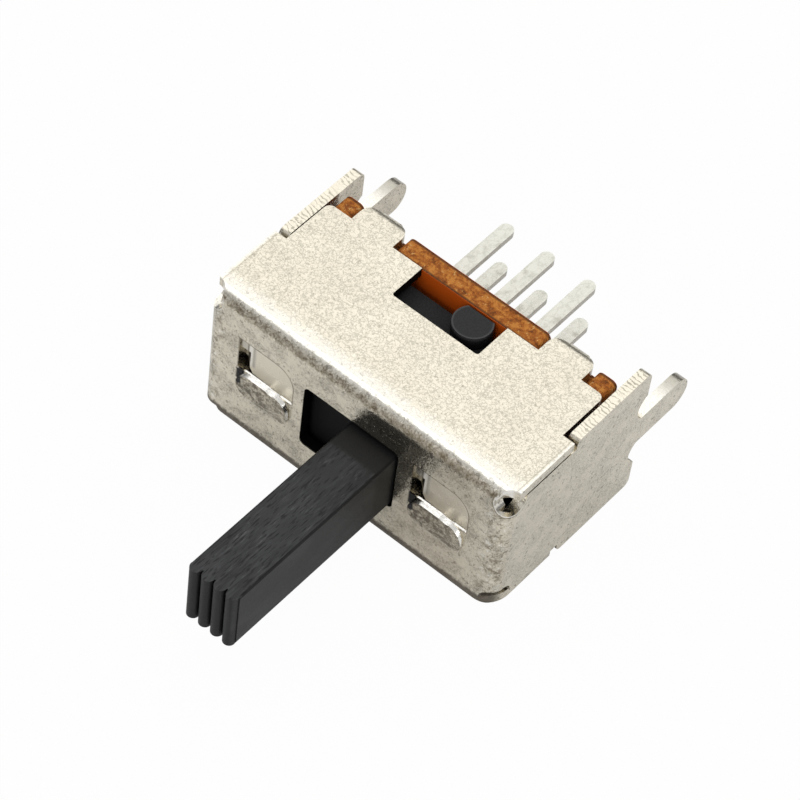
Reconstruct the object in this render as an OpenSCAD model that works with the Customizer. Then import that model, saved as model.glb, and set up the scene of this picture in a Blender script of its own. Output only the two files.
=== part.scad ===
// Slide switch, two poles and two positions, with a long side lever.
// A folded steel housing clamps a laminated terminal board with four crimp tabs.
// Behind it the pins and two mounting legs point along +Y into the circuit board.
// Origin: middle of the pin pattern, on the plane where the housing meets that board.
// The lever points along -Y and slides along X; +Z is up.

/* [Housing] */
// Length over the two end plates
body_l = 14.3; // [14.1:0.1:16]
// Height over the top and bottom walls
body_h = 7; // [6.9:0.1:8]
// Depth from the front wall to the circuit board
body_d = 8.3; // [8.2:0.1:9]
// Thickness of the steel sheet
sheet_t = 0.45; // [0.35:0.05:0.5]
// Inner radius of the folds
fold_r = 0.1; // [0.05:0.05:0.4]
// Outer radius of the tighter fold below the front wall
foot_r = 0.4; // [0.3:0.05:0.5]
// Radius of the relief notches where three walls meet
relief_r = 0.58; // [0.54:0.01:0.62]
// How far inside the end plate's outer face the front wall's notch is centred
relief_x = 0.1; // [0.05:0.01:0.15]
// How far behind the front wall's outer face the end plate's notch is centred
relief_y = 0.48; // [0.4:0.01:0.52]
// How far below the top wall's outer face both are centred
relief_z = 0.57; // [0.54:0.01:0.6]
// How far the bottom wall stays back from the end plates' outer faces
cover_in = 0.1; // [0:0.02:0.2]
// Radius of the bottom wall's front corners
corner_r = 1.2; // [0.8:0.05:1.4]
// Depth to which the top and bottom walls cover the end plates
cover_d = 3.65; // [3:0.05:4]
// Radius of those walls' rear outer corners
wall_r = 0.3; // [0.1:0.05:0.5]
// Gap between neighbouring sheared edges
edge_gap = 0.1; // [0.05:0.01:0.15]
// Gap in front of the raised part of an end plate
step_gap = 0.22; // [0.1:0.02:0.3]

/* [Openings] */
// Height of the lever slot
slot_h = 3.3; // [3.1:0.1:3.6]
// How far the slot's middle lies above the housing's middle
slot_z = 0.06; // [0:0.02:0.2]
// Corner radius of the slot
slot_r = 0.25; // [0.1:0.05:0.5]
// How far the middles of the slot and of the travel lie beside the housing's middle
slot_x = -0.1; // [-0.12:0.02:0.12]
// Gap beside the lever at the ends of the travel
slot_gap = 0.11; // [0.08:0.01:0.2]
// Gap beside the boss at the nearer end of the travel
stop_gap = 0.15; // [0.1:0.05:0.3]
// Depth of the window's front edge
window_d = 4.35; // [4.25:0.05:4.5]

/* [Pressed marks in the front wall] */
// Distance of each mark's middle from the housing's middle
mark_x = 4.2; // [4.1:0.02:4.4]
// Width of a mark
mark_w = 2.65; // [2.2:0.05:2.7]
// Height of the flat part above the cut
mark_h = 1.65; // [1.4:0.05:1.8]
// Corner radius of the flat part
mark_r = 0.85; // [0.5:0.05:1]
// Height of the cut above the housing's middle
mark_z = 0.15; // [0:0.05:0.3]
// How far the flat part is pressed in
coin_d = 0.09; // [0.05:0.01:0.12]
// Width of the upright groove along the flat part's left edge
groove_w = 0.5; // [0.4:0.05:0.7]
// Height of that groove above the cut
groove_h = 1.15; // [1.1:0.05:1.4]
// Depth of that groove
groove_d = 0.4; // [0.3:0.02:0.42]
// How far the louver below the cut stands out
louver_out = 0.2; // [0.1:0.02:0.3]
// Height of the louver
louver_h = 1.55; // [1.1:0.05:1.6]

/* [Crimp tabs] */
// Distance of each tab's middle from the housing's middle
tab_x = 4.5; // [4.4:0.02:4.6]
// Width of a tab
tab_w = 2; // [1.8:0.05:2.1]
// Width of its folded end
tab_end_w = 0.8; // [0.6:0.05:1.2]
// Outer radius of the tab's fold
tab_r = 0.65; // [0.55:0.05:0.7]
// How far the tab reaches down behind the board
tab_drop = 1.2; // [1.1:0.05:1.4]

/* [Mounting legs] */
// Width of a leg
leg_w = 1.5; // [1.2:0.1:1.7]
// Length of a leg beyond the seat
leg_l = 2.9; // [2.5:0.05:3.6]
// Radius of the notches beside a leg
notch_r = 0.72; // [0.5:0.02:0.8]
// Depth of those notches
notch_d = 0.45; // [0.3:0.05:0.5]

/* [Terminal board] */
// Thickness of the board
board_t = 0.95; // [0.8:0.05:1.1]
// Depth of the board's front face
board_d = 6.1; // [6:0.05:6.2]
// Gap between the board and the end plates
board_gap = 0.2; // [0.02:0.02:0.26]
// Gap between the board and each crimp tab's sides
tab_gap = 0.12; // [0.05:0.01:0.15]
// How far the outer lugs end below the middle one
lug_drop = 0.1; // [0:0.02:0.2]

/* [Terminals] */
// Distance between neighbouring pins
pitch = 2; // [1.9:0.05:2.1]
// Distance between the two rows
row_gap = 2.3; // [2.2:0.05:2.5]
// Width of a pin
pin_w = 0.6; // [0.5:0.05:0.7]
// Thickness of the pin and its blade
pin_t = 0.3; // [0.2:0.05:0.35]
// Length of a pin beyond the seat
pin_l = 3.4; // [3:0.1:4]
// Width of the contact blade inside
blade_w = 1.5; // [1.3:0.05:1.6]
// Length of the contact blade in front of the board
blade_l = 2.2; // [2:0.05:2.25]

/* [Slider] */
// Length of the lever in front of the front wall
lever_l = 8.8; // [6:0.1:12]
// Width of the lever
lever_w = 2.3; // [2:0.1:2.4]
// Height of the lever
lever_h = 2.84; // [2.4:0.02:2.9]
// Radius of the lever's long edges
lever_edge = 0.12; // [0.05:0.01:0.2]
// Number of grip ribs on the tip
rib_n = 4; // [3:1:5]
// Depth of the grooves between the ribs
rib_d = 0.3; // [0.2:0.02:0.36]
// Length of the carriage inside
slide_l = 9.8; // [9.4:0.1:10]
// Gap between the carriage and what guides it
guide_gap = 0.05; // [0.03:0.01:0.08]
// Gap above and below the carriage behind the window
core_gap = 0.3; // [0.1:0.05:0.5]
// Gap between the blades and their pocket in the carriage
blade_gap = 0.25; // [0.1:0.05:0.4]
// Radius of the boss in the window
boss_r = 0.8; // [0.7:0.02:0.86]

/* [Contact clips] */
// Length of a clip
clip_l = 3.3; // [2.9:0.1:3.4]
// Thickness of the clip's spring metal
clip_t = 0.15; // [0.1:0.01:0.18]
// Height of a clip
clip_h = 1; // [0.95:0.01:1.02]

/* [Hidden] */
$fn = 48;
over = 1;

bend_r = sheet_t + fold_r;
half_l = body_l / 2;
half_h = body_h / 2;
in_l = half_l - sheet_t;
in_h = half_h - sheet_t;
core_h = 2 * (in_h - core_gap);
travel = pitch;
rest_x = slot_x + travel / 2;
slot_w = lever_w + travel + 2 * slot_gap;
window_w = 2 * (boss_r + abs(slot_x) + stop_gap) + travel;
window_r = 0.12;
plate_top = half_h - edge_gap;
board_rear = board_d + board_t;
board_half = in_l - board_gap;
board_top = half_h - 0.1;
tab_foot = half_h - tab_r - 0.05;
board_r = 0.25;
groove_wall = 0.25;
louver_w = mark_w - 0.15;
louver_wall = 0.6 * sheet_t;
slide_front = max(groove_d + groove_wall, sheet_t + coin_d) + guide_gap;
slide_rear = board_d - 0.4;
boss_flat = board_d - 2 * guide_gap;
boss_y = board_d - 0.6;
boss_top = half_h - 0.1;
rail_h = 2 * (in_h - guide_gap);
rail_rear = window_d - 0.2;
pocket_h = clip_h + 0.24;
pocket_w = 2 * pitch + blade_w + travel + 4 * blade_gap;
pocket_front = board_d - blade_l - blade_gap;
clip_rear = slide_rear - 0.1;
clip_front = pocket_front - 0.8;
dimple_r = 0.3;
dimple_gap = 0.03;
steel = [0.74, 0.73, 0.69];
laminate = [0.72, 0.34, 0.12];
plastic = [0.13, 0.13, 0.14];
tin = [0.84, 0.84, 0.8];
bronze = [0.8, 0.56, 0.3];

// Everything below is measured from the middle of the front wall's outer face.
module from_front() {
    translate([0, -body_d, 0]) children();
}

// A profile drawn as (x, z), as thick as from depth y0 to depth y1.
module sheet_xz(y0, y1) {
    translate([0, y1, 0]) rotate([90, 0, 0]) linear_extrude(y1 - y0) children();
}

// A profile drawn as (y, z), running from x0 to x1.
module bar_yz(x0, x1) {
    translate([x0, 0, 0]) rotate([90, 0, 90]) linear_extrude(x1 - x0) children();
}

// Children in both the upper and the lower half.
module both_halves() {
    for (side = [0, 1]) mirror([0, 0, side]) children();
}

// Children at both ends.
module both_ends() {
    for (side = [0, 1]) mirror([side, 0, 0]) children();
}

module rounded_rect(w, h, r) {
    square([w - 2 * r, h], center = true);
    square([w, h - 2 * r], center = true);
    for (x = [-1, 1], y = [-1, 1])
        translate([x * (w / 2 - r), y * (h / 2 - r)]) circle(r);
}

// What rounding a corner at the origin takes off, in the quarter where x and y are negative.
module corner_waste(r) {
    difference() {
        translate([-r, -r]) square(r + edge_gap / 2);
        translate([-r, -r]) circle(r);
    }
}

// A channel seen end on: open at the rear, its two front corners rounded.
module channel(half, front, rear, low_r, high_r) {
    difference() {
        translate([front, -half]) square([rear - front, 2 * half]);
        translate([front, -half]) rotate(180) corner_waste(low_r);
        translate([front, half]) mirror([1, 0]) corner_waste(high_r);
    }
}

// A block with the folded box's form, smaller by inset on every closed side.
module folded_block(inset, rear) {
    r = bend_r - inset;
    intersection() {
        bar_yz(inset - half_l, half_l - inset)
            channel(half_h - inset, inset, rear, max(foot_r - inset, fold_r / 2), r);
        translate([0, 0, inset - half_h]) linear_extrude(body_h - 2 * inset)
            rotate(90) channel(half_l - inset, inset, rear, r, r);
    }
}

// Outline of an end plate as (y, z), with its leg and the notches beside it.
module end_plate_outline() {
    low_top = in_h - edge_gap;
    difference() {
        union() {
            translate([bend_r, -low_top]) square([body_d - bend_r, 2 * low_top]);
            translate([(cover_d + step_gap + body_d) / 2, 0])
                rounded_rect(body_d - cover_d - step_gap, 2 * plate_top, 0.3);
        }
        for (side = [-1, 1])
            translate([body_d + notch_r - notch_d, side * (leg_w / 2 + notch_r * 0.85)]) circle(notch_r);
    }
    translate([body_d - over, -leg_w / 2]) square([over + leg_l - leg_w / 2, leg_w]);
    translate([body_d + leg_l - leg_w / 2, 0]) circle(leg_w / 2);
}

// A crimp tab as (y, z): flat with the wall, folded down behind the board.
module tab_outline() {
    fold_y = board_rear + sheet_t - tab_r;
    translate([board_d - over, in_h]) square([fold_y - board_d + over, sheet_t]);
    intersection() {
        translate([fold_y, half_h - tab_r]) difference() {
            circle(tab_r);
            circle(tab_r - sheet_t);
        }
        translate([fold_y, half_h - tab_r]) square(tab_r);
    }
    translate([board_rear, half_h - tab_drop]) square([sheet_t, tab_drop - tab_r]);
}

// The tab is as wide as its notch until it folds, then it narrows with round shoulders.
module crimp_tab() {
    shoulder_r = (tab_w - tab_end_w) / 2;
    shoulder_y = board_rear + 0.4 * sheet_t;
    intersection() {
        bar_yz(tab_x - tab_w / 2, tab_x + tab_w / 2) tab_outline();
        union() {
            translate([tab_x, shoulder_y - tab_w / 2, in_h - 0.1]) linear_extrude(over)
                rounded_rect(tab_w, tab_w, shoulder_r);
            sheet_xz(board_d, body_d) translate([tab_x, half_h - tab_drop / 2])
                rounded_rect(tab_end_w, tab_drop, 0.3);
        }
    }
}

// Flat part of a pressed mark as (x, z), its left end of the cut at the origin.
module mark_outline() {
    square([mark_w - mark_r, mark_h]);
    square([mark_w, mark_h - mark_r]);
    translate([mark_w - mark_r, mark_h - mark_r]) circle(mark_r);
}

module at_marks() {
    for (side = [-1, 1]) translate([side * mark_x - mark_w / 2, 0, mark_z]) children();
}

// The louver, fullest along the cut; with a wall's thickness it gives the hollow behind.
module louver_form(wall, rear) {
    face_r = (louver_h * louver_h / louver_out + louver_out) / 2;
    intersection() {
        translate([mark_w / 2, 0, -louver_h / 2]) sheet_xz(wall - louver_out, rear)
            rounded_rect(louver_w - wall / 2, louver_h - wall / 2, 0.45 * louver_h - wall / 2);
        bar_yz(0, mark_w) translate([face_r - louver_out, 0]) circle(face_r - wall);
    }
}

// What the press pushes into the housing behind a mark.
module mark_backing() {
    sheet_xz(sheet_t / 2, sheet_t + coin_d) mark_outline();
    linear_extrude(groove_h) polygon([
        [0, sheet_t / 2], [0, groove_d + groove_wall],
        [groove_w, groove_d + groove_wall], [groove_w * 1.5, sheet_t / 2]
    ]);
    louver_form(0, sheet_t);
}

module mark_cuts() {
    sheet_xz(-over, coin_d) mark_outline();
    // The groove's left wall is steep, its right side runs out into the flat part.
    linear_extrude(groove_h) polygon([
        [0, -over], [0, groove_d], [groove_w * 0.3, groove_d], [groove_w, coin_d], [groove_w, -over]
    ]);
    // The cut gapes below the groove and closes towards its right end.
    sheet_xz(-over, over) polygon([
        [0, 0], [0, 0.42], [groove_w * 0.9, 0.36], [groove_w * 1.3, 0.05], [mark_w * 0.6, 0]
    ]);
    louver_form(louver_wall, over);
}

// A relief hole leaves a round notch in the front wall and one in the end plate.
module relief_notches() {
    intersection() {
        union() {
            sheet_xz(-over, sheet_t + fold_r / 2)
                translate([half_l - relief_x, half_h - relief_z]) circle(relief_r);
            bar_yz(in_l - fold_r / 2, half_l + over)
                translate([relief_y, half_h - relief_z]) circle(relief_r);
        }
        translate([0, -over, 0]) cube([body_l, body_d, in_h]);
    }
}

// The bottom wall closes the lower relief holes, with rounder corners than the bends.
module bottom_wall_trim() {
    translate([0, 0, -half_h - over]) linear_extrude(sheet_t + over) difference() {
        translate([-body_l, -over]) square([2 * body_l, cover_d + over]);
        rotate(90) channel(half_l - cover_in, 0, board_d, corner_r, corner_r);
    }
}

module housing() {
    color(steel) from_front() difference() {
        union() {
            difference() {
                folded_block(0, board_d);
                folded_block(sheet_t, board_d + over);
                // The end plates are cut to their own outline.
                both_ends() translate([in_l, bend_r + 0.1, -in_h])
                    cube([sheet_t + over, board_d, 2 * in_h]);
                // Behind the covering part the top and bottom walls run between the end plates.
                both_ends() both_halves() translate([in_l - edge_gap, cover_d, in_h - edge_gap])
                    cube([sheet_t + edge_gap + over, board_d, sheet_t + edge_gap + over]);
                both_ends() both_halves() translate([half_l - bend_r, bend_r * 0.6, in_h - edge_gap])
                    cube([bend_r + over, cover_d - bend_r * 0.6, edge_gap]);
            }
            for (x = [-half_l, in_l]) bar_yz(x, x + sheet_t) end_plate_outline();
            both_ends() both_halves() crimp_tab();
            at_marks() mark_backing();
        }
        both_ends() {
            relief_notches();
            translate([half_l, 0, in_h - fold_r / 2]) cylinder(r = relief_r, h = sheet_t + over);
        }
        mirror([0, 0, 1]) relief_notches();
        bottom_wall_trim();
        both_ends() both_halves() translate([in_l - edge_gap, board_d, in_h - over / 2])
            linear_extrude(sheet_t + over) corner_waste(wall_r);
        translate([slot_x, 0, slot_z]) sheet_xz(-over, over) rounded_rect(slot_w, slot_h, slot_r);
        both_halves() translate([0, board_d, in_h - over / 2]) linear_extrude(sheet_t + over)
            rounded_rect(window_w, 2 * (board_d - window_d), window_r);
        at_marks() mark_cuts();
    }
}

// Outline of the terminal board as (x, z): three lugs along each long edge.
module board_outline() {
    lug_in = tab_x - tab_w / 2 - tab_gap;
    lug_out = tab_x + tab_w / 2 + tab_gap;
    square([2 * board_half, 2 * tab_foot], center = true);
    rounded_rect(2 * lug_in, 2 * board_top, board_r);
    for (side = [-1, 1]) translate([side * (lug_out + board_half) / 2, 0])
        rounded_rect(board_half - lug_out, 2 * (board_top - lug_drop), board_r);
}

module at_terminals() {
    for (row = [1, -1], column = [-1, 0, 1])
        translate([column * pitch, 0, row * row_gap / 2]) children();
}

module terminal_board() {
    color(laminate) from_front() difference() {
        sheet_xz(board_d, board_rear) board_outline();
        at_terminals() translate([-pin_w / 2, board_d - over, -pin_t / 2])
            cube([pin_w, board_t + 2 * over, pin_t]);
    }
}

// One stamped terminal: a wide contact blade, a stake behind the board, a round-ended pin.
module terminal(index) {
    row = index < 3 ? 1 : -1;
    column = index % 3 - 1;
    pin_tip = body_d + pin_l;
    color(tin) from_front() translate([column * pitch, 0, row * row_gap / 2 - pin_t / 2])
        linear_extrude(pin_t) {
            translate([0, board_d - blade_l / 2]) rounded_rect(blade_w, blade_l, 0.25);
            translate([-blade_w / 2, board_d - blade_l / 2]) square([blade_w, blade_l / 2]);
            translate([-pin_w / 2, board_d - over / 2])
                square([pin_w, pin_tip - board_d + over / 2 - pin_w / 2]);
            translate([0, pin_tip - pin_w / 2]) circle(pin_w / 2);
            translate([-pin_w * 0.75, board_rear]) square([pin_w * 1.5, pin_w / 2]);
        }
}

// The long lever with upright grip ribs across its tip.
module lever() {
    rib_pitch = lever_w / rib_n;
    rib_r = rib_pitch * 0.44;
    sheet_xz(rib_d - lever_l, slide_front + over) rounded_rect(lever_w, lever_h, lever_edge);
    for (i = [0 : rib_n - 1])
        translate([(i + 0.5) * rib_pitch - lever_w / 2, rib_r - lever_l, -lever_h / 2])
            cylinder(r = rib_r, h = lever_h);
}

// A flat-backed boss that stands in the window and slides along the board.
module boss() {
    intersection() {
        translate([0, boss_y, pocket_h / 2 + row_gap / 2 + 0.15])
            cylinder(r = boss_r, h = boss_top - pocket_h / 2 - row_gap / 2 - 0.15);
        translate([-boss_r, 0, 0]) cube([2 * boss_r, boss_flat, half_h]);
    }
}

module carriage() {
    translate([0, (slide_front + slide_rear) / 2, -core_h / 2]) linear_extrude(core_h)
        rounded_rect(slide_l, slide_rear - slide_front, 0.4);
    translate([0, (slide_front + rail_rear) / 2, -rail_h / 2]) linear_extrude(rail_h)
        rounded_rect(slide_l, rail_rear - slide_front, 0.4);
}

// Room for the blades of one row, and a snug seat for the clip in front of it.
module clip_pocket() {
    translate([-pocket_w / 2, pocket_front, -pocket_h / 2])
        cube([pocket_w, slide_rear - pocket_front + over, pocket_h]);
    translate([-clip_l / 2, clip_front, -clip_h / 2])
        cube([clip_l, pocket_front - clip_front + over, clip_h]);
}

module slider() {
    color(plastic) from_front() translate([rest_x, 0, 0]) difference() {
        union() {
            carriage();
            lever();
            both_halves() boss();
        }
        for (row = [-1, 1]) translate([0, 0, row * row_gap / 2]) clip_pocket();
    }
}

// A clip folded from one strip: two arms pinch the blades between four dimples.
module clip(row) {
    fold_y = clip_front + clip_h / 2;
    arm_in = clip_h / 2 - clip_t;
    color(bronze) from_front() translate([rest_x, 0, row * row_gap / 2]) {
        bar_yz(-clip_l / 2, clip_l / 2) {
            difference() {
                translate([fold_y, 0]) circle(clip_h / 2);
                translate([fold_y, 0]) circle(arm_in);
                translate([fold_y, -clip_h]) square(2 * clip_h);
            }
            for (side = [0, 1]) mirror([0, side])
                translate([fold_y, arm_in]) square([clip_rear - fold_y, clip_t]);
        }
        both_ends() both_halves() intersection() {
            translate([pitch / 2, (fold_y + clip_rear) / 2 + 0.4, pin_t / 2 + dimple_gap + dimple_r])
                sphere(dimple_r);
            translate([0, fold_y, 0]) cube([pitch, clip_rear - fold_y, arm_in + clip_t / 2]);
        }
    }
}

housing();
terminal_board();
slider();
clip(1);  // clip_upper
clip(-1);  // clip_lower
terminal(0);  // terminal_1
terminal(1);  // terminal_2
terminal(2);  // terminal_3
terminal(3);  // terminal_4
terminal(4);  // terminal_5
terminal(5);  // terminal_6
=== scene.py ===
import math
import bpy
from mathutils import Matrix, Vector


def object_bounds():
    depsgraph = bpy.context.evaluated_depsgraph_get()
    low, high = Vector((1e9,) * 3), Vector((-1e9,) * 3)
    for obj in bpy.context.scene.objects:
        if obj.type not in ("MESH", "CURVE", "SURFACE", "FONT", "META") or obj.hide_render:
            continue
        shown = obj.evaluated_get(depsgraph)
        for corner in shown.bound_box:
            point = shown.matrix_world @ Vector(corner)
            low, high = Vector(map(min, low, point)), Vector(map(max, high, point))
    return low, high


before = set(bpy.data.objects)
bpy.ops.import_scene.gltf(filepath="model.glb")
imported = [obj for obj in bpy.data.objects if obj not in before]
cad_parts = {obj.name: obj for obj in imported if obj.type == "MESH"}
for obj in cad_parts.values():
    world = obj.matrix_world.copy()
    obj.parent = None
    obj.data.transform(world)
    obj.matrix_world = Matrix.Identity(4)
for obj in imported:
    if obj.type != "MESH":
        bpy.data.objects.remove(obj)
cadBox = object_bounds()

from types import SimpleNamespace

import bmesh
import bpy
from mathutils import Matrix, Vector

mm = 0.001
scene = bpy.context.scene
scene.view_settings.view_transform = "Standard"


# A shader socket that takes part in sums
class Wire:
    def __init__(self, tree, socket=None):
        self.tree, self.socket = tree, socket

    def node(self, kind, settings=None, inputs=None, output=0):
        made = self.tree.nodes.new(kind)
        for name, value in (settings or {}).items():
            if name == "stops":
                fillRamp(made.color_ramp, value)
            else:
                setattr(made, name, value)
        for name, value in (inputs or {}).items():
            if isinstance(value, Wire):
                self.tree.links.new(value.socket, made.inputs[name])
            else:
                made.inputs[name].default_value = value
        return Wire(self.tree, made.outputs[output])

    def maths(self, operation, *values):
        return self.node("ShaderNodeMath", {"operation": operation}, dict(enumerate(values)))

    def __add__(self, other):
        return self.maths("ADD", self, other)

    def __sub__(self, other):
        return self.maths("SUBTRACT", self, other)

    def __mul__(self, other):
        return self.maths("MULTIPLY", self, other)

    def __rsub__(self, other):
        return self.maths("SUBTRACT", other, self)

    def __neg__(self):
        return 0 - self

    def __abs__(self):
        return self.maths("ABSOLUTE", self)

    __radd__ = __add__
    __rmul__ = __mul__

    def root(self):
        return self.maths("SQRT", self)

    def highest(self, other):
        return self.maths("MAXIMUM", self, other)

    # 0 at low, 1 at high, smooth between
    def step(self, low, high):
        settings = {"interpolation_type": "SMOOTHSTEP"}
        return self.node("ShaderNodeMapRange", settings, {"Value": self, 1: low, 2: high})

    # 1 at low, 0 at high, smooth between
    def fade(self, low, high):
        return 1 - self.step(low, high)

    # 1 past a place, 0 before it, with a soft edge
    def past(self, place, soft=0.02):
        return self.step(place - soft, place + soft)

    # 1 before a place, 0 past it, with a soft edge
    def before(self, place, soft=0.02):
        return 1 - self.past(place, soft)

    # 1 between two places, with soft edges
    def inside(self, low, high, soft=0.02):
        return self.past(low, soft) * self.before(high, soft)

    def split(self):
        return [self.node("ShaderNodeSeparateXYZ", None, {0: self}, axis) for axis in "XYZ"]

    def noise(self, scale, detail=2, rough=0.5, stretch=(1, 1, 1)):
        place = self.node("ShaderNodeMapping", None, {"Vector": self, "Scale": stretch})
        inputs = {"Vector": place, "Scale": scale, "Detail": detail, "Roughness": rough}
        return self.node("ShaderNodeTexNoise", {"noise_dimensions": "3D"}, inputs)

    def ramp(self, stops):
        return self.node("ShaderNodeValToRGB", {"stops": stops}, {0: self})

    # Lays colours over a base one by one, each with how much of it shows
    def paint(self, base, layers):
        for colour, amount in layers:
            inputs = {0: amount, 6: base, 7: colour}
            base = self.node("ShaderNodeMix", {"data_type": "RGBA"}, inputs, 2)
        return base

    # Relief is in millimetres
    def bump(self, relief, strength=1.0):
        inputs = {"Strength": strength, "Distance": relief * mm, "Height": self}
        return self.node("ShaderNodeBump", None, inputs)


def fillRamp(ramp, stops):
    while len(ramp.elements) < len(stops):
        ramp.elements.new(0.5)
    for element, (place, colour) in zip(ramp.elements, stops):
        element.position, element.color = place, colour


def grey(value):
    return (value, value, value, 1)


def distance(across, up):
    return (across * across + up * up).root()


# A new material, a Wire to build with, and its shader
def startMaterial(name):
    material = bpy.data.materials.new(name)
    material.use_nodes = True
    tree = material.node_tree
    return material, Wire(tree), tree.nodes["Principled BSDF"]


# Where each point of a piece is, in millimetres, and which way it faces
def readPiece(start):
    place = start.node("ShaderNodeTexCoord", output="Object")
    place = start.node("ShaderNodeVectorMath", {"operation": "SCALE"}, {0: place, "Scale": 1 / mm})
    x, y, z = place.split()
    nx, ny, nz = start.node("ShaderNodeTexCoord", output="Normal").split()
    return SimpleNamespace(place=place, x=x, y=y, z=z, nx=nx, ny=ny, nz=nz)


# Sets or links a shader's sockets, each called by its name without spaces
def plug(shader, **values):
    names = {name.lower().replace(" ", ""): name for name in shader.inputs.keys()}
    for key, value in values.items():
        socket = shader.inputs[names[key.lower()]]
        if isinstance(value, Wire):
            value.tree.links.new(value.socket, socket)
        else:
            socket.default_value = value


print("camera and light")
camera = {
    "azimuth": 33.69, "elevation": 51.7902, "roll": 8.1348, "lens": 165.762, "sensor": 36,
    "distance": 135.97 * mm, "right": 0.9061 * mm, "up": 1.0339 * mm, "near": 0.005, "far": 10,
}


def placeCamera(size):
    azimuth, elevation, roll = (math.radians(size[k]) for k in ("azimuth", "elevation", "roll"))
    turn = Matrix.Rotation(azimuth, 3, "Z") @ Matrix.Rotation(math.pi / 2 - elevation, 3, "X")
    turn = turn @ Matrix.Rotation(roll, 3, "Z")
    data = bpy.data.cameras.new("camera")
    data.lens, data.sensor_width = size["lens"], size["sensor"]
    data.clip_start, data.clip_end = size["near"], size["far"]
    made = bpy.data.objects.new("camera", data)
    scene.collection.objects.link(made)
    middle = (cadBox[0] + cadBox[1]) / 2
    offset = Vector((size["right"], size["up"], size["distance"]))
    made.matrix_world = Matrix.Translation(middle + turn @ offset) @ turn.to_4x4()
    scene.camera = made


placeCamera(camera)

# Place and width in millimetres, power in watts
lamps = {
    "overhead": {"place": (-110, 150, 375), "width": 640, "power": 0.73},
    "front": {"place": (60, -420, 200), "width": 300, "power": 0.48},
    "side": {"place": (420, -60, 170), "width": 260, "power": 0.22},
}


def hangLamp(name, size):
    data = bpy.data.lights.new(name, "AREA")
    data.shape, data.size, data.energy = "DISK", size["width"] * mm, size["power"]
    made = bpy.data.objects.new(name, data)
    scene.collection.objects.link(made)
    place = Vector(size["place"]) * mm
    turn = place.to_track_quat("Z", "Y").to_matrix().to_4x4()
    made.matrix_world = Matrix.Translation(place) @ turn


for name, size in lamps.items():
    hangLamp(name, size)


# Each tone of grey stands at its height, from 0 straight down to 1 straight up
def makeSky(size):
    world = bpy.data.worlds.new("studio")
    scene.world = world
    world.use_nodes = True
    direction = Wire(world.node_tree).node("ShaderNodeTexCoord", output="Generated")
    height = direction.split()[2] * 0.5 + 0.5
    tone = height.ramp([(place, grey(value)) for place, value in size["tones"]])
    plug(world.node_tree.nodes["Background"], color=tone, strength=size["strength"])


makeSky({"tones": [(0, 0.5), (0.5, 0.22), (0.65, 0.3), (0.84, 0.75), (1, 0.85)], "strength": 0.8})


# Reach and the gap below the piece are in millimetres
def layFloor(size):
    mesh = bpy.data.meshes.new("floor")
    shape = bmesh.new()
    bmesh.ops.create_grid(shape, x_segments=1, y_segments=1, size=size["reach"] * mm)
    drop = (0, 0, cadBox[0].z - size["gap"] * mm)
    bmesh.ops.translate(shape, verts=shape.verts, vec=drop)
    shape.to_mesh(mesh)
    shape.free()
    floor = bpy.data.objects.new("floor", mesh)
    scene.collection.objects.link(floor)
    material, start, shader = startMaterial("floor")
    plug(shader, baseColor=grey(size["tone"]), roughness=size["rough"])
    # It glows where it is looked at, straight or through something clear, and less in metal
    rays = ("Is Camera Ray", "Is Glossy Ray", "Is Transmission Ray")
    direct, glossy, through = (start.node("ShaderNodeLightPath", output=ray) for ray in rays)
    seen = (direct.highest(through) * size["glow"]).highest(glossy * size["mirrored"])
    matt = Wire(start.tree, shader.outputs[0])
    glow = start.node("ShaderNodeEmission", None, {"Color": grey(1), "Strength": 1.0})
    both = start.node("ShaderNodeMixShader", None, {0: seen, 1: matt, 2: glow})
    plug(material.node_tree.nodes["Material Output"], surface=both)
    mesh.materials.append(material)


layFloor({"reach": 400, "gap": 0.01, "tone": 0.75, "rough": 0.9, "glow": 0.97, "mirrored": 0.3})


print("materials")


# How far a point lies outside a pressed flat's outline; across and up start at its cut's middle
def outsideFlat(across, up, size):
    right = (across - (size["halfWidth"] - size["corner"])).highest(0)
    top = (up - (size["height"] - size["corner"])).highest(0)
    rounded = distance(right, top) - size["corner"]
    return rounded.highest(-size["halfWidth"] - across)


# The pressed marks: a smooth flat in a thin dark outline above each cut, a louver below it
def findMarks(at, size):
    across = at.x - at.x.past(0, 0.01) * (2 * size["markX"]) + size["markX"]
    up = at.z - size["cutZ"]
    proud = size["frontY"] - at.y
    outside = outsideFlat(across, up, size)
    flat = outside.fade(-0.04, 0) * up.past(0) * at.front
    line = abs(outside).fade(0.02, 0.07) * up.step(-0.1, 0.05) * at.front
    # The groove on the flat's left is striped with painted highlights and shade of its walls, down
    # to a foot painted black as shade
    groove = flat * across.fade(-0.62, -0.5) * up.step(0.3, 0.5)
    footShade = across.inside(-1.38, -1.0, 0.05) * (up + at.uneven * 0.8).inside(-0.7, 0.06, 0.05)
    footShade = footShade * proud.step(-0.06, -0.02)
    # The louver is a lip with a painted highlight over a dark mottled bulge, its darkness partly
    # painted shade
    bulge = (proud - 0.02 + at.uneven * 0.08).step(0, 0.03)
    lip = at.nz.step(0.42, 0.72) * proud.inside(-0.1, 0.3) * up.inside(-0.4, 0.15)
    lip = lip * across.past(size["lipFrom"], 0.1)
    lip = lip.highest(at.nx.step(0.25, 0.6) * bulge * up.inside(-0.9, 0.1))
    return SimpleNamespace(across=across, up=up, proud=proud, flat=flat, line=line,
                           groove=groove, footShade=footShade, lip=lip, louver=bulge * (1 - lip))
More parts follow.
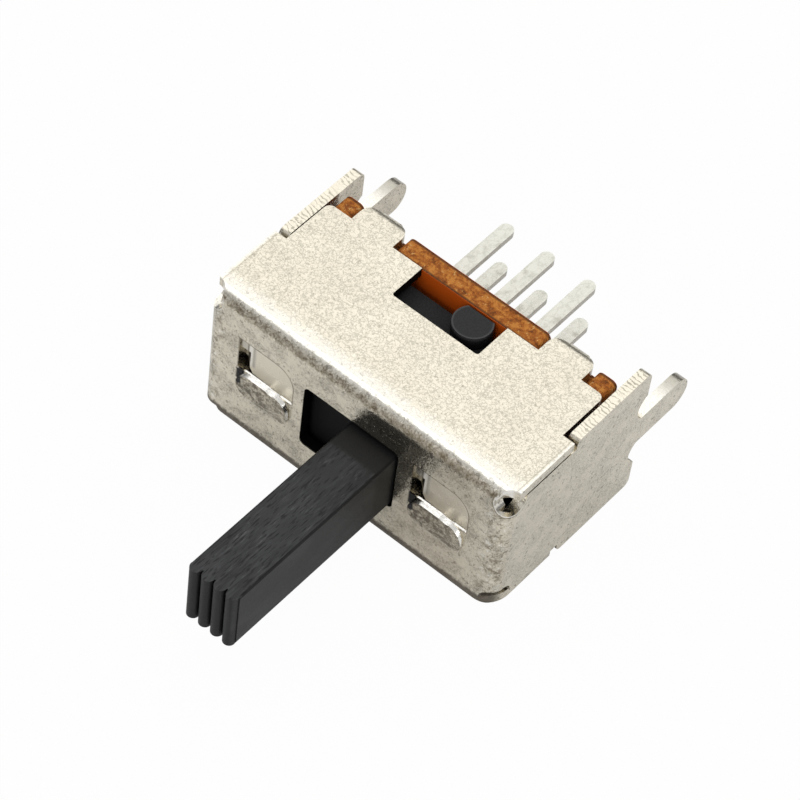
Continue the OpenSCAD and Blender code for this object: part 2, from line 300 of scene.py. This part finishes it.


# The front folds: the upper one is stretched, with open grain in a dull band, partly a painted
# reflection of dark surroundings, beside a painted highlight along the bend and the top wall's
# front margin; the lower one is painted dark as shade; the upright ones at the corners are patchy
def findFolds(at, size):
    top = at.z.step(0, 1)
    over = abs(at.z) - size["bendZ"]
    along = size["bendY"] - at.y
    angle = along.maths("ARCTAN2", along, over) + at.uneven * 0.9
    onBend = along.step(0, 0.05) * over.step(-0.3, 0) * top
    band = onBend * angle.step(0.5, 0.85) * angle.fade(1.15, 1.55)
    margin = at.upper * (at.uneven * 0.9 - at.y).step(7.0, 7.7) * top
    shine = (onBend * angle.fade(0.35, 0.7)).highest(margin * 0.6)
    low = (at.uneven * 0.3 - at.z).step(2.78, 2.98) * (at.nz + 1).step(0.02, 0.1)
    low = low * at.front.highest(at.y.fade(-7.9, -7.4))
    upright = along.step(0.1, 0.3) * (abs(at.x) - size["uprightX"]).step(0, 0.6) * (1 - at.upper)
    return SimpleNamespace(band=band, shine=shine, low=low, upright=upright)


# A painted highlight round the relief notch at each upper corner, as on a raised rim, and a painted
# shade line round the right one
def findNotches(at, size):
    ring = distance(abs(at.x) - size["reliefX"], at.z - size["reliefZ"])
    onRing = at.y.before(size["cornerY"], 0.1) * (1 - at.upper)
    right = at.x.step(0, 1)
    rim = ring.inside(*size["rim"]) * onRing * (0.4 + right * 0.6)
    return SimpleNamespace(rim=rim, line=ring.inside(*size["rimLine"], 0.03) * onRing * right)


# Sheared edges, with dull streaks across the sheet
def findEdges(at, size):
    onLeg = at.y.past(0, 0.1)
    onPlate = abs(at.x).past(size["plateX"]) * at.y.past(size["plateY"], 0.03) * (1 - onLeg)
    plate = at.nz.step(0.6, 0.8) * onPlate
    wave = at.y * 34 + at.coarse * 11 + at.blotch * 16 + at.x * 5
    teeth = wave.maths("SINE", wave).step(0.3, 1) * plate * at.blotch.step(0.3, 0.6)
    # The legs' upward edges get a painted highlight, and their tips painted shade
    leg = at.nz.step(0.4, 0.7) * onLeg
    tip = at.nz.step(0.1, 0.5) * at.y.step(0.9, 2.2)
    # The faces that look right inside the gaps between the top wall and the end plates, given a
    # painted amber reflection of the board
    inner = at.nx.step(0.5, 0.8) * at.z.past(size["gapZ"], 0.1) * at.y.inside(*size["gapY"], 0.1)
    inner = inner * abs(at.x).inside(*size["gapX"])
    return SimpleNamespace(plate=plate, teeth=teeth, leg=leg, tip=tip, inner=inner)


# Along its ends the top wall has a rounded margin with a painted highlight, and a thin line beside
# it
def findMargins(at, size):
    wall = at.upper * at.y.before(size["wallY"], 0.04) * at.z.past(size["wallZ"], 0.1)
    rounded = abs(at.x).inside(*size["margin"], 0.03) * wall
    line = abs(at.x).inside(*size["marginLine"], 0.025) * wall
    return SimpleNamespace(rounded=rounded, line=line)


# The cut walls of the window and the slot are painted black as shade
def findOpenings(at, window, slot):
    inWindow = abs(at.x).before(window["halfWidth"]) * at.y.inside(*window["depth"])
    inWindow = inWindow * abs(at.z).past(window["z"]) * abs(at.nz).fade(0.5, 0.8)
    inSlot = abs(at.x - slot["x"]).before(slot["halfWidth"]) * at.y.inside(*slot["depth"])
    inSlot = inSlot * abs(at.z - slot["z"]).before(slot["halfHeight"])
    return inWindow.highest(inSlot * abs(at.ny).fade(0.5, 0.8))


def makeSteel(size):
    material, start, shader = startMaterial("plated_steel")
    at = readPiece(start)
    at.coarse, fine, cloud, at.blotch, ragged, speck = (
        at.place.noise(*size[k]) for k in ("coarse", "fine", "cloud", "blotch", "ragged", "speck")
    )
    at.uneven = at.coarse - 0.5
    at.upper = at.nz.step(0.3, 0.9)
    at.front = (-at.ny).step(0.3, 0.9)
    marks, folds, notches = findMarks(at, size), findFolds(at, size), findNotches(at, size)
    edges, margins = findEdges(at, size), findMargins(at, size)
    openingShade = findOpenings(at, size["window"], size["slot"])
    # Thin worm-like valleys follow the noise's middle value
    valley = abs(at.uneven).fade(0, size["vein"])
    wisp = abs(fine - 0.5).fade(0, size["vein"])
    pit = at.coarse.step(0.58, 0.66) * fine.step(0.48, 0.6)
    speck = speck.step(0.655, 0.69)
    side = 1 - at.upper
    ends = abs(at.nx).step(0.7, 0.9)
    depth = (0.6 + side * 0.4 - ends * 0.25) * (1 - marks.flat * 0.95)
    patchy = depth * at.upper.highest(at.blotch.step(0.3, 0.6) * 0.75)
    # Painted reflection of the lever and its shadow, darkening the front wall right of the lever
    leverReflection = at.front * at.x.inside(*size["leverReflection"], 1.0) * (0.6 + at.blotch.step(0.3, 0.7) * 0.4)
    mottled = marks.louver * ragged.step(0.45, 0.56) * (0.88 - marks.across.step(-1, 1.2) * 0.3)
    spread = ends * 0.6 + at.front * (1 - marks.flat) * 0.45 + at.upper * 0.25
    vale, dark, brown, bright = (size[k] for k in ("vale", "dark", "brown", "bright"))
    colour = start.paint(size["light"], [
        (size["warm"], cloud.step(0.35, 0.7) * 0.5),
        (vale, at.blotch.step(0.45, 0.7) * side * depth * (0.35 - ends * 0.22)),
        (vale, valley * patchy * size["valeShare"]),
        (vale, wisp * patchy * size["wispShare"]),
        (vale, at.upper * (0.04 + at.blotch.step(0.5, 0.75) * 0.1)),
        (dark, pit * depth * (0.25 + side * at.blotch.step(0.4, 0.6) * 0.5)),
        # Painted highlight along the upper bend and the top wall's front margin
        (bright, folds.shine * 0.75),
        # The upper bend's dull band: open grain, partly a painted reflection of dark surroundings
        (brown, folds.band * (0.3 + valley * 0.3 + ragged.step(0.42, 0.6) * 0.4)),
        (dark, folds.band * pit * 0.6),
        (size["leverReflectionTint"], leverReflection * 0.35),
        (brown, folds.upright * ragged.step(0.5, 0.62) * 0.6),
        (bright, folds.upright * ragged.fade(0.36, 0.44) * 0.6),
        # The end plates are tinted a little darker as painted shade
        (vale, margins.line * 0.7 + ends * 0.12),
        # Painted highlight on the rounded margins
        (bright, margins.rounded * 0.5),
        # Painted shade line and painted highlight rim round the relief notches
        (brown, notches.line * 0.7),
        (bright, notches.rim * 0.8),
        # The lower bend is painted dark as shade
        (size["lowShade"], folds.low * 0.85),
        # The louver's bulge is darkened and mottled, partly as painted shade
        (brown, marks.louver * (0.12 + valley * 0.35)),
        (dark, mottled),
        (dark, marks.louver * fine.step(0.5, 0.62) * 0.35),
        (dark, speck * spread),
        # Painted highlights and shade of the groove's walls, as stripes
        ((marks.across + 1.4).ramp(size["stripes"]), marks.groove * 0.85),
        (dark, marks.line * 0.65),
        # The groove's foot is painted black as shade
        (size["black"], marks.footShade),
        # Painted highlight on the louvers' lips
        (bright, marks.lip),
        (size["light"], edges.plate * 0.8),
        (vale, edges.teeth * 0.95),
        # Painted highlight on the legs' edges and painted shade at their tips
        (bright, edges.leg * 0.6),
        (vale, edges.tip * 0.75),
        # Painted amber reflection of the board in the gaps beside the top wall
        (size["boardReflectionTint"], edges.inner * 0.9),
        # The openings' cut walls are painted black as shade
        (size["black"], openingShade),
    ])
    height = (at.coarse * 0.6 + fine * 0.3 - pit * 0.3) * depth
    height = height - folds.band * at.coarse * 0.6 - marks.louver * at.coarse
    # The lip is rounded by the press, so its face leans outwards
    height = height + marks.lip * (0.1 - marks.proud) * (size["lean"] / size["relief"])
    rough = size["rough"] + valley * 0.08 + folds.band * 0.25 + folds.low * 0.4
    rough = rough + marks.louver * 0.2 + openingShade * 0.5
    rough = rough + marks.flat * marks.up.fade(0.2, 0.9) * 0.35
    bump = height.bump(size["relief"])
    plug(shader, baseColor=colour, metallic=1 - folds.low * 0.6, roughness=rough, normal=bump)
    return material


# Places in millimetres; each noise is its scale, detail and roughness, and its stretch if any
steel = makeSteel({
    "coarse": (4.6, 3, 0.6), "fine": (10.58, 2), "cloud": (0.35, 3), "blotch": (1.3, 3, 0.6),
    "ragged": (3.4, 4, 0.7), "speck": (6, 1, 0.4),
    "vein": 0.06, "relief": 0.03, "rough": 0.2, "lean": 0.42, "valeShare": 1.0, "wispShare": 0.45,
    "frontY": -8.3, "bendY": -7.75, "bendZ": 2.95, "uprightX": 6, "reliefX": 7.05, "reliefZ": 2.93,
    "cornerY": -7.6, "rim": (0.5, 0.63), "rimLine": (0.65, 0.69), "leverReflection": (1.9, 5.6),
    "plateX": 6.68, "plateY": -4.47, "gapX": (6.5, 6.78), "gapY": (-4.9, -2.1), "gapZ": 2.8,
    "wallY": -4.66, "wallZ": 3.1, "margin": (7.06, 7.2), "marginLine": (6.98, 7.01),
    "markX": 4.2, "cutZ": 0.15, "halfWidth": 1.325, "height": 1.65, "corner": 0.85,
    "lipFrom": -1.05,
    "window": {"halfWidth": 2.12, "z": 3.02, "depth": (-4.05, -2.1)},
    "slot": {"x": -0.1, "z": 0.06, "halfWidth": 2.3, "halfHeight": 1.68, "depth": (-8.27, -7.8)},
    "light": (0.8, 0.745, 0.62, 1), "warm": (0.74, 0.68, 0.56, 1), "vale": (0.33, 0.31, 0.25, 1),
    "dark": (0.13, 0.105, 0.075, 1), "brown": (0.16, 0.125, 0.075, 1),
    "lowShade": (0.085, 0.066, 0.05, 1), "boardReflectionTint": (0.3, 0.14, 0.045, 1), "leverReflectionTint": (0.36, 0.29, 0.2, 1),
    "bright": (0.97, 0.95, 0.9, 1), "black": (0.01, 0.01, 0.01, 1),
    # Painted highlights and shade across the groove
    "stripes": [
        (0.06, (0.12, 0.1, 0.08, 1)), (0.13, (0.5, 0.47, 0.4, 1)), (0.38, (0.55, 0.52, 0.45, 1)),
        (0.45, (0.12, 0.1, 0.07, 1)), (0.52, (0.9, 0.88, 0.82, 1)), (0.64, (0.85, 0.82, 0.75, 1)),
        (0.72, (0.42, 0.39, 0.33, 1)), (0.85, (0.66, 0.62, 0.54, 1)),
    ],
})


def makeLaminate(size):
    material, start, shader = startMaterial("phenolic")
    at = readPiece(start)
    grain, fleck, layers = (at.place.noise(*size[k]) for k in ("grain", "flecked", "layered"))
    # The front is smooth, the rear cloudy, and the sheared edge torn and mottled, with a dark rim
    # along both faces
    off = abs(at.y - size["middle"])
    face = off.past(size["half"] - 0.02, 0.01)
    rear = face * at.y.past(size["middle"] + 0.05, 0.05)
    darkRim = (off + grain * 0.14 - 0.07).step(size["half"] - 0.15, size["half"] - 0.06) * (1 - face)
    colour = start.paint((grain * 0.85 + layers * 0.15).ramp(size["edgeStops"]), [
        (size["fleck"], fleck.step(0.6, 0.7) * 0.6),
        (size["darkRim"], darkRim * 0.8),
        (size["face"], face),
        (size["cloudy"], rear * layers.step(0.35, 0.7) * 0.45),
        (size["fleck"], rear * fleck.step(0.52, 0.7) * 0.22),
    ])
    height = (grain + fleck * 0.5) * (1 - face + rear * 0.12)
    rough = size["rough"] - face * 0.12
    bump = height.bump(size["relief"])
    plug(shader, baseColor=colour, roughness=rough, normal=bump, specularIORLevel=size["gloss"])
    return material


# Middle and half are the board's place and half its thickness, in millimetres
laminate = makeLaminate({
    "grain": (4, 4, 0.72), "flecked": (7.5, 2, 0.6, (1, 0.6, 1)),
    "layered": (2.2, 3, 0.6, (0.7, 4, 0.7)),
    "middle": -1.725, "half": 0.475, "relief": 0.09, "rough": 0.62, "gloss": 0.25,
    "face": (0.62, 0.1, 0.006, 1), "cloudy": (0.34, 0.06, 0.006, 1),
    "fleck": (0.85, 0.5, 0.18, 1), "darkRim": (0.06, 0.022, 0.006, 1),
    "edgeStops": [
        (0.36, (0.17, 0.048, 0.006, 1)), (0.48, (0.4, 0.115, 0.013, 1)),
        (0.6, (0.62, 0.24, 0.042, 1)),
    ],
})


def makePlastic(size):
    material, start, shader = startMaterial("black_plastic")
    at = readPiece(start)
    streak, thread, grain, cloud, scuff = (
        at.place.noise(*size[k]) for k in ("streak", "thread", "grain", "cloud", "scuffed")
    )
    ahead = -at.y
    outside = ahead.past(size["outFrom"], 0.1)
    broad = abs(at.nz).step(0.5, 0.9)
    # The lever is drawn along its top and worn, smooth near its root and darker there as a painted
    # shadow of the housing, and dark along its rounded edges
    lever = ahead.past(size["drawnFrom"], 0.15)
    drawn = lever * broad
    worn = lever * (0.22 + broad * 0.08 + cloud.step(0.4, 0.65) * 0.3)
    worn = worn + drawn * streak.step(0.42, 0.62) * 0.35
    edge = abs(at.nz).highest(abs(at.nx)).fade(0.93, 0.98) * outside
    edge = edge * ahead.before(size["gripFrom"] - 0.15, 0.05)
    # The grip's hollows are painted dark as shade, and its ribs painted darker in front as shade
    # and lighter on their left flanks as painted light
    grip = ahead.past(size["gripFrom"], 0.05)
    hollowShade = grip * ahead.fade(size["gripFrom"] + 0.05, size["gripFrom"] + 0.18) * (1 - broad)
    litFlank = (-at.nx).step(0.35, 0.8)
    ribFrontShade = grip * (1 - broad) * (1 - litFlank) * at.x.before(size["lastRibX"], 0.05)
    # The boss in the window has a worn rim
    ring = distance(at.x - size["bossX"], at.y - size["bossY"])
    boss = ring.fade(size["bossR"], size["bossR"] + 0.05) * abs(at.z).past(size["bossZ"], 0.05)
    rim = boss * ring.step(size["bossR"] - 0.09, size["bossR"] - 0.04)
    worn = worn.highest(boss * (0.3 + grain.step(0.4, 0.6) * 0.2))
    # The carriage's top round the boss is hardly worn
    floor = abs(at.z).past(size["carriageZ"], 0.05) * (1 - boss) * (1 - outside)
    black, scuffs = size["black"], size["scuff"]
    colour = start.paint(black, [
        (size["root"], outside.highest(floor * cloud.step(0.3, 0.7))),
        (size["worn"], worn * (0.75 + ahead.step(10, 17) * 0.45)),
        (scuffs, drawn * scuff.step(0.6, 0.7) * thread.step(0.5, 0.62) * 0.35),
        (scuffs, drawn * thread.step(0.6, 0.7) * streak.step(0.5, 0.6) * 0.25),
        (black, drawn * thread.fade(0.34, 0.46) * 0.8),
        # Black along the rounded edges, and painted shade in the grip's hollows
        (black, edge * 0.7 + hollowShade * 0.8),
        (black, ribFrontShade * 0.75),
        (scuffs, grip * litFlank * 0.12 + rim * 0.25),
        (size["worn"], floor * (0.14 + grain.step(0.4, 0.65) * 0.2)),
    ])
    height = (streak * 0.8 + thread * 0.6) * drawn + grain * 0.3
    rough = size["rough"] - outside * 0.3 - boss * 0.3 + grain * 0.08
    bump = height.bump(size["relief"])
    plug(shader, baseColor=colour, roughness=rough, normal=bump, specularIORLevel=size["gloss"])
    return material


# Places in millimetres; those that end in From lie ahead of the circuit board's plane
plastic = makePlastic({
    "streak": (7, 3, 0.6, (1, 0.09, 1)), "thread": (14, 2, 0.5, (1, 0.14, 1)),
    "grain": (12, 3, 0.6), "cloud": (0.7, 3, 0.6, (1, 0.4, 1)),
    "scuffed": (2.2, 4, 0.7, (1, 0.3, 1)),
    "outFrom": 8.2, "drawnFrom": 9.35, "gripFrom": 16.8, "lastRibX": 1.93, "carriageZ": 2.65,
    "bossX": 0.9, "bossY": -2.8, "bossZ": 3.25, "bossR": 0.8,
    "relief": 0.03, "rough": 0.75, "gloss": 0.25,
    "black": (0.004, 0.004, 0.004, 1), "root": (0.012, 0.012, 0.012, 1),
    "worn": (0.052, 0.053, 0.055, 1), "scuff": (0.17, 0.17, 0.17, 1),
})


# Drawn along the sheet or wire, mottled and spotted, and darker on its sides where it was cut:
# partly dull cut edges, partly painted shade
def makePlated(name, size):
    material, start, shader = startMaterial(name)
    at = readPiece(start)
    drawn = at.place.noise(6, 3, 0.6, (1, 0.15, 1))
    mottle = at.place.noise(3.2, 3, 0.6, (1, 0.6, 1))
    spot = at.place.noise(2.4, 3).step(0.5, 0.72)
    colour = start.paint(size["light"], [
        (size["dull"], spot * 0.4 + drawn.step(0.5, 0.7) * 0.25),
        (size["dull"], abs(mottle - 0.5).fade(0, 0.06) * 0.35),
        # Sides darker: dull cut edges, partly painted shade
        (size["edge"], abs(at.nz).fade(0.3, 0.8) * 0.7),
    ])
    rough = 0.38 + spot * 0.15
    bump = (drawn + mottle).bump(0.02, 0.7)
    plug(shader, baseColor=colour, metallic=size["metallic"], roughness=rough, normal=bump)
    return material


tin = makePlated("plated_brass", {
    "light": (0.76, 0.755, 0.68, 1), "dull": (0.5, 0.49, 0.41, 1), "edge": (0.5, 0.49, 0.43, 1),
    "metallic": 0.65,
})
bronze = makePlated("spring_bronze", {
    "light": (0.78, 0.5, 0.26, 1), "dull": (0.5, 0.29, 0.13, 1), "edge": (0.4, 0.22, 0.1, 1),
    "metallic": 1.0,
})


def dress(nodes, material):
    for name in nodes:
        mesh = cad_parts[name].data
        mesh.materials.clear()
        mesh.materials.append(material)


print("finishes on the pieces")
dress(["housing"], steel)
dress(["terminal_board"], laminate)
dress(["slider"], plastic)
dress(["clip_upper", "clip_lower"], bronze)
dress(["terminal_%d" % i for i in range(1, 7)], tin)
